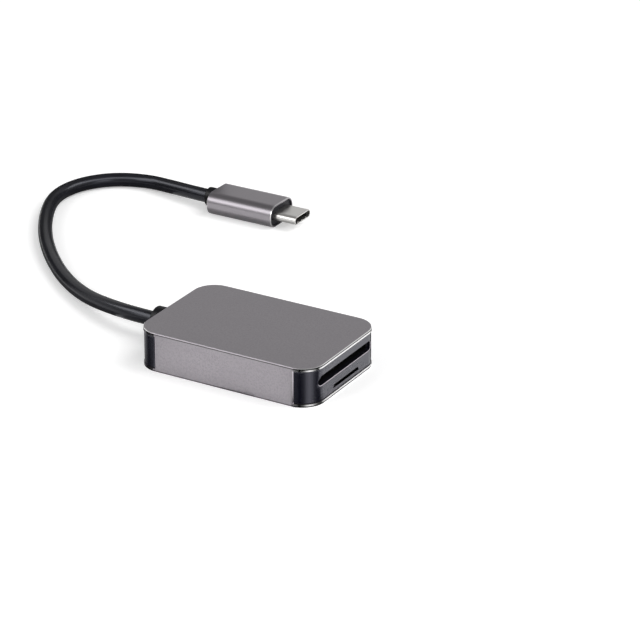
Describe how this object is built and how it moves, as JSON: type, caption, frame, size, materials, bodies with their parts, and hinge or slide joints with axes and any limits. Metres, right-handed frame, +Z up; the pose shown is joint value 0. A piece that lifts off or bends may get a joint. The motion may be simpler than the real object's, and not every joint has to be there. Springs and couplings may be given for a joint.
{
  "type": "usb memory card reader",
  "caption": "Flat aluminium memory card reader with a large and a small card slot in its front cap and a short cord that ends in a flat USB-C plug.",
  "frame": {"origin": "middle of the case's underside, which rests on a table", "axes": "+X out of the card slots, +Z up, +Y towards the side where the plug lies"},
  "size_m": [0.131, 0.1038, 0.0104],
  "materials": {
    "case_aluminium": "blasted and anodised space grey, bright edges",
    "sleeve_aluminium": "fine satin anodised grey",
    "gloss_black_plastic": "polished",
    "black_moulding": "moulded",
    "slate_plastic": "satin",
    "circuit_board": "solder mask",
    "stainless_sheet": "bright sheet",
    "gold_contact": "gold plated",
    "chip_ceramic": "fired",
    "wire_insulation": "smooth",
    "cord_jacket": "satin",
    "bush_rubber": "satin",
    "nickel_nose": "nickel plated"
  },
  "bodies": {
    "root": {"shell": "case_aluminium", "front_end_cap": "gloss_black_plastic", "rear_end_cap": "gloss_black_plastic", "circuit_board": "circuit_board", "sd_socket_housing": "black_moulding", "sd_socket_cover": "stainless_sheet", "sd_contacts": "gold_contact", "microsd_socket_housing": "black_moulding", "microsd_socket_cover": "stainless_sheet", "microsd_contacts": "gold_contact", "controller_chip": "black_moulding", "regulator_chip": "black_moulding", "crystal": "stainless_sheet", "capacitors": "chip_ceramic", "resistors": "chip_ceramic", "board_wires": "wire_insulation", "rear_strain_relief": "bush_rubber", "cable": "cord_jacket", "plug_strain_relief": "bush_rubber", "plug_sleeve": "sleeve_aluminium", "plug_insert": "slate_plastic", "plug_shield_can": "stainless_sheet", "paddle_card": "circuit_board", "paddle_resistors": "chip_ceramic", "plug_wires": "wire_insulation", "usb_c_shell": "nickel_nose", "usb_c_insulator": "black_moulding", "usb_c_contacts": "gold_contact", "usb_c_latch": "stainless_sheet", "usb_c_ground_springs": "nickel_nose"}
  },
  "joints": []
}
